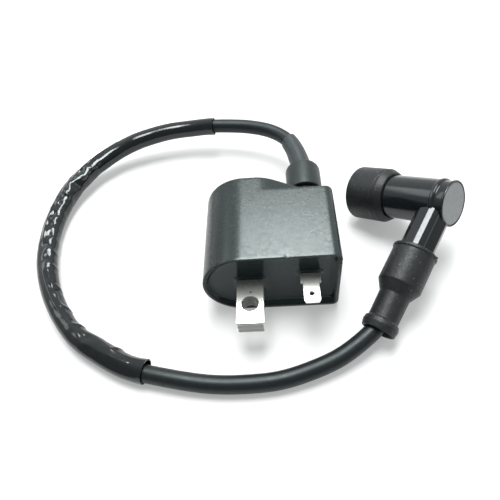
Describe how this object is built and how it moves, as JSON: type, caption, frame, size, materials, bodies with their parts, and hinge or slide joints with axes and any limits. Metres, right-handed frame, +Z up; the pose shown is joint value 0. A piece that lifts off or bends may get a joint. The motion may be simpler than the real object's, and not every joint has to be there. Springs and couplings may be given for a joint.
{
  "type": "ignition coil",
  "caption": "Potted ignition coil with a laminated mounting leg and spade terminal, a sleeved high-tension lead and a right-angle spark plug cap.",
  "frame": {"origin": "centre of the flat bottom face of the coil's case, midway between its open front rim and the back of its square part", "axes": "+Z up from the case's bottom face, +Y from the mounting leg towards the lead tower, +X from the case's round side to its square side"},
  "size_m": [0.1914, 0.1482, 0.0373],
  "materials": {
    "case_plastic": "satin moulded black",
    "potting_resin": "poured glossy black",
    "bobbin_nylon": "natural nylon",
    "copper_wire": "enamelled copper wire",
    "brass": "plain brass",
    "tinned_brass": "tin plate",
    "core_steel": "zinc plated lamination steel",
    "black_rubber": "matte black rubber",
    "lead_jacket": "satin black jacket",
    "vinyl_sleeve": "glossy black vinyl",
    "bakelite": "moulded black phenolic",
    "epoxy_disc": "matte grey epoxy",
    "resistor_ceramic": "plain ceramic",
    "spring_steel": "spring wire"
  },
  "bodies": {
    "coil": {"coil_case": "case_plastic", "potting_resin": "potting_resin", "core_lamination_01": "core_steel", "core_lamination_02": "core_steel", "core_lamination_03": "core_steel", "core_lamination_04": "core_steel", "core_lamination_05": "core_steel", "core_lamination_06": "core_steel", "core_lamination_07": "core_steel", "core_lamination_08": "core_steel", "core_lamination_09": "core_steel", "core_lamination_10": "core_steel", "core_lamination_11": "core_steel", "core_lamination_12": "core_steel", "primary_bobbin": "bobbin_nylon", "primary_winding": "copper_wire", "secondary_bobbin": "bobbin_nylon", "secondary_section_1": "copper_wire", "secondary_section_2": "copper_wire", "secondary_section_3": "copper_wire", "secondary_section_4": "copper_wire", "secondary_section_5": "copper_wire", "primary_lead": "copper_wire", "ground_lead": "copper_wire", "secondary_lead": "copper_wire", "ht_spike": "brass", "spade_terminal": "tinned_brass", "tower_collar": "black_rubber", "lead_grommet": "black_rubber", "ht_lead": "lead_jacket", "lead_conductor": "copper_wire", "lead_sleeve": "vinyl_sleeve"},
    "plug_cap": {"cap_body": "bakelite", "cap_end_disc": "epoxy_disc", "wire_screw": "brass", "screw_block": "brass", "resistor": "resistor_ceramic", "resistor_spring": "spring_steel", "plug_socket": "brass", "socket_clip": "spring_steel", "cable_boot": "black_rubber"},
    "boot": {"plug_boot": "black_rubber"}
  },
  "joints": [
    {"name": "cap_turn", "type": "hinge", "parent": "coil", "child": "plug_cap", "pos_m": [0.0628, 0.01185, 0.0263], "axis": [0.5119, 0.7931, 0.33], "range_deg": [-180, 180]},
    {"name": "plug_boot_pull", "type": "slide", "parent": "plug_cap", "child": "boot", "axis": [-0.6858, 0.6087, -0.3989], "range_m": [0, 0.009]}
  ]
}
